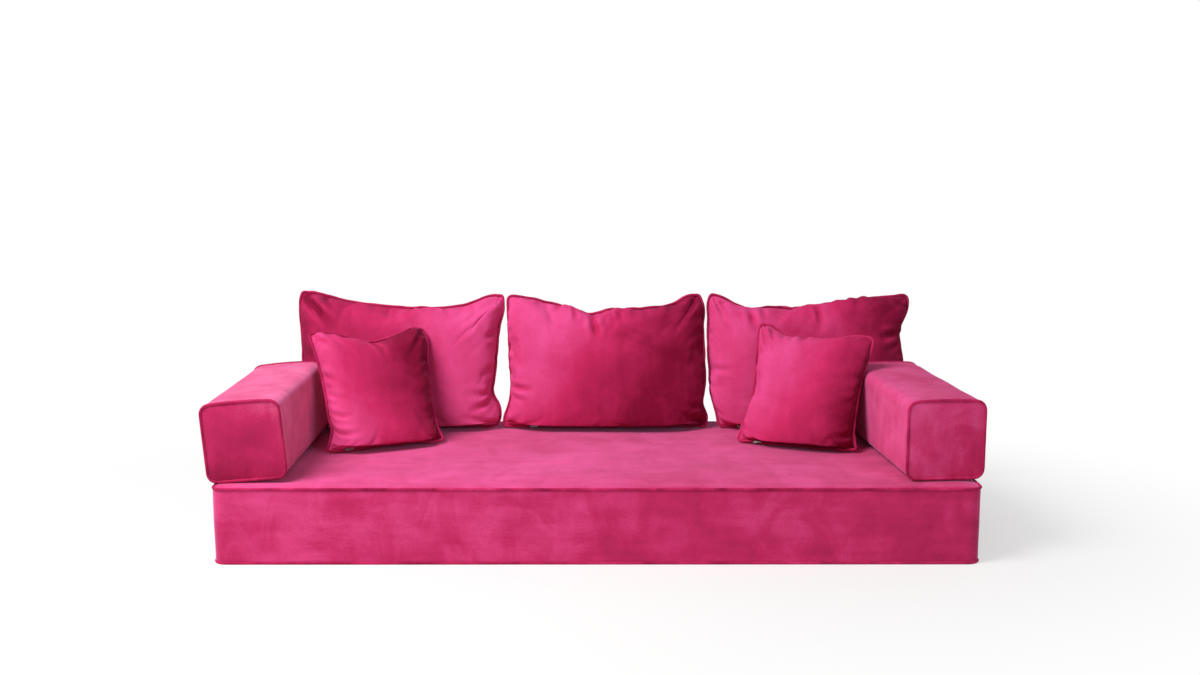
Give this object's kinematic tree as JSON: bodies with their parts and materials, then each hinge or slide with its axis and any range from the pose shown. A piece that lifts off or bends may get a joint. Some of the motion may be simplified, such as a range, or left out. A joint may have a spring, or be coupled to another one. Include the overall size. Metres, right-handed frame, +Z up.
{
  "type": "majlis floor sofa",
  "caption": "Low floor sofa with a mattress seat, square arm bolsters, leaning back cushions and throw pillows, in piped velvet covers with zips.",
  "frame": {"origin": "on the floor under the middle of the seat mattress", "axes": "+Z up; the front of the seat faces -Y; +X to the right of someone who looks at that front"},
  "size_m": [2.0477, 0.8165, 0.6251],
  "materials": {
    "velvet": "raspberry pink velvet with a short soft nap",
    "piping": "the same velvet sewn round a cotton cord",
    "foam": "open-cell upholstery foam",
    "fibre_fill": "polyester fibre in a plain inner case",
    "zip_tape": "woven tape with nylon coil teeth, dyed to match",
    "zip_metal": "nickel plated zip parts"
  },
  "bodies": {
    "seat": {"seat_top_panel": "velvet", "seat_side_band": "velvet", "seat_bottom_panel": "velvet", "seat_foam_block": "foam", "seat_top_piping": "piping", "seat_bottom_piping": "piping", "seat_zip_tape": "zip_tape"},
    "left_arm": {"left_arm_sleeve": "velvet", "left_arm_front_panel": "velvet", "left_arm_rear_panel": "velvet", "left_arm_foam_block": "foam", "left_arm_piping": "piping", "left_arm_zip_tape": "zip_tape"},
    "right_arm": {"right_arm_sleeve": "velvet", "right_arm_front_panel": "velvet", "right_arm_rear_panel": "velvet", "right_arm_foam_block": "foam", "right_arm_piping": "piping", "right_arm_zip_tape": "zip_tape"},
    "left_back": {"left_back_front_panel": "velvet", "left_back_rear_panel": "velvet", "left_back_inner_pad": "fibre_fill", "left_back_piping": "piping", "left_back_zip_chain": "zip_metal"},
    "middle_back": {"middle_back_front_panel": "velvet", "middle_back_rear_panel": "velvet", "middle_back_inner_pad": "fibre_fill", "middle_back_piping": "piping", "middle_back_zip_chain": "zip_metal"},
    "right_back": {"right_back_front_panel": "velvet", "right_back_rear_panel": "velvet", "right_back_inner_pad": "fibre_fill", "right_back_piping": "piping", "right_back_zip_chain": "zip_metal"},
    "left_throw": {"left_throw_front_panel": "velvet", "left_throw_rear_panel": "velvet", "left_throw_inner_pad": "fibre_fill", "left_throw_piping": "piping", "left_throw_zip_chain": "zip_metal"},
    "right_throw": {"right_throw_front_panel": "velvet", "right_throw_rear_panel": "velvet", "right_throw_inner_pad": "fibre_fill", "right_throw_piping": "piping", "right_throw_zip_chain": "zip_metal"},
    "seat_zip_slider": {"seat_zip_slider": "zip_metal"},
    "seat_zip_pull": {"seat_zip_pull": "zip_metal"},
    "left_arm_zip_slider": {"left_arm_zip_slider": "zip_metal"},
    "left_arm_zip_pull": {"left_arm_zip_pull": "zip_metal"},
    "right_arm_zip_slider": {"right_arm_zip_slider": "zip_metal"},
    "right_arm_zip_pull": {"right_arm_zip_pull": "zip_metal"},
    "left_back_zip_slider": {"left_back_zip_slider": "zip_metal"},
    "left_back_zip_pull": {"left_back_zip_pull": "zip_metal"},
    "middle_back_zip_slider": {"middle_back_zip_slider": "zip_metal"},
    "middle_back_zip_pull": {"middle_back_zip_pull": "zip_metal"},
    "right_back_zip_slider": {"right_back_zip_slider": "zip_metal"},
    "right_back_zip_pull": {"right_back_zip_pull": "zip_metal"},
    "left_throw_zip_slider": {"left_throw_zip_slider": "zip_metal"},
    "left_throw_zip_pull": {"left_throw_zip_pull": "zip_metal"},
    "right_throw_zip_slider": {"right_throw_zip_slider": "zip_metal"},
    "right_throw_zip_pull": {"right_throw_zip_pull": "zip_metal"}
  },
  "joints": [
    {"name": "left_arm_lift", "type": "slide", "parent": "seat", "child": "left_arm", "axis": [-0.7071, 0, 0.7071], "range_m": [0, 0.32]},
    {"name": "right_arm_lift", "type": "slide", "parent": "seat", "child": "right_arm", "axis": [0.7071, 0, 0.7071], "range_m": [0, 0.32]},
    {"name": "left_back_lift", "type": "slide", "parent": "seat", "child": "left_back", "axis": [0, 0.5, 0.866], "range_m": [0, 0.45]},
    {"name": "middle_back_lift", "type": "slide", "parent": "seat", "child": "middle_back", "axis": [0, 0.5, 0.866], "range_m": [0, 0.45]},
    {"name": "right_back_lift", "type": "slide", "parent": "seat", "child": "right_back", "axis": [0, 0.5, 0.866], "range_m": [0, 0.45]},
    {"name": "left_throw_lift", "type": "slide", "parent": "seat", "child": "left_throw", "axis": [0, 0, 1], "range_m": [0, 0.4]},
    {"name": "right_throw_lift", "type": "slide", "parent": "seat", "child": "right_throw", "axis": [0, 0, 1], "range_m": [0, 0.4]},
    {"name": "seat_zip_slide", "type": "slide", "parent": "seat", "child": "seat_zip_slider", "axis": [1, 0, 0], "range_m": [0, 1.7094]},
    {"name": "seat_pull_swing", "type": "hinge", "parent": "seat_zip_slider", "child": "seat_zip_pull", "pos_m": [-0.8547, 0.4, 0.1025], "axis": [0, 0, 1], "range_deg": [0, 170]},
    {"name": "left_arm_zip_slide", "type": "slide", "parent": "left_arm", "child": "left_arm_zip_slider", "axis": [-0.007, 1, 0], "range_m": [0, 0.47316]},
    {"name": "left_arm_pull_swing", "type": "hinge", "parent": "left_arm_zip_slider", "child": "left_arm_zip_pull", "pos_m": [-1.018, -0.30646, 0.24405], "axis": [-0.0785, -0.0005, 0.9969], "range_deg": [0, 170]},
    {"name": "right_arm_zip_slide", "type": "slide", "parent": "right_arm", "child": "right_arm_zip_slider", "axis": [-0.0802, 0.9968, 0], "range_m": [0, 0.47316]},
    {"name": "right_arm_pull_swing", "type": "hinge", "parent": "right_arm_zip_slider", "child": "right_arm_zip_pull", "pos_m": [1.01062, -0.28436, 0.2523], "axis": [0, 0, -1], "range_deg": [0, 170]},
    {"name": "left_back_zip_slide", "type": "slide", "parent": "left_back", "child": "left_back_zip_slider", "axis": [1, 0, 0], "range_m": [0, 0.44007]},
    {"name": "left_back_pull_swing", "type": "hinge", "parent": "left_back_zip_slider", "child": "left_back_zip_pull", "pos_m": [-0.8307, 0.2587, 0.21979], "axis": [0, -0.2588, -0.9659], "range_deg": [0, 170]},
    {"name": "middle_back_zip_slide", "type": "slide", "parent": "middle_back", "child": "middle_back_zip_slider", "axis": [1, 0, 0], "range_m": [0, 0.44007]},
    {"name": "middle_back_pull_swing", "type": "hinge", "parent": "middle_back_zip_slider", "child": "middle_back_zip_pull", "pos_m": [-0.19903, 0.2587, 0.21979], "axis": [0, -0.2588, -0.9659], "range_deg": [0, 170]},
    {"name": "right_back_zip_slide", "type": "slide", "parent": "right_back", "child": "right_back_zip_slider", "axis": [1, 0, 0], "range_m": [0, 0.44007]},
    {"name": "right_back_pull_swing", "type": "hinge", "parent": "right_back_zip_slider", "child": "right_back_zip_pull", "pos_m": [0.43263, 0.2587, 0.21979], "axis": [0, -0.2588, -0.9659], "range_deg": [0, 170]},
    {"name": "left_throw_zip_slide", "type": "slide", "parent": "left_throw", "child": "left_throw_zip_slider", "axis": [0.9135, 0.4067, 0], "range_m": [0, 0.2314]},
    {"name": "left_throw_pull_swing", "type": "hinge", "parent": "left_throw_zip_slider", "child": "left_throw_zip_pull", "pos_m": [-0.70578, -0.04592, 0.22224], "axis": [0.2274, -0.5108, -0.829], "range_deg": [0, 170]},
    {"name": "right_throw_zip_slide", "type": "slide", "parent": "right_throw", "child": "right_throw_zip_slider", "axis": [0.9272, -0.3746, 0], "range_m": [0, 0.2314]},
    {"name": "right_throw_pull_swing", "type": "hinge", "parent": "right_throw_zip_slider", "child": "right_throw_zip_pull", "pos_m": [0.45876, 0.04725, 0.22224], "axis": [-0.2095, -0.5185, -0.829], "range_deg": [0, 170]}
  ]
}
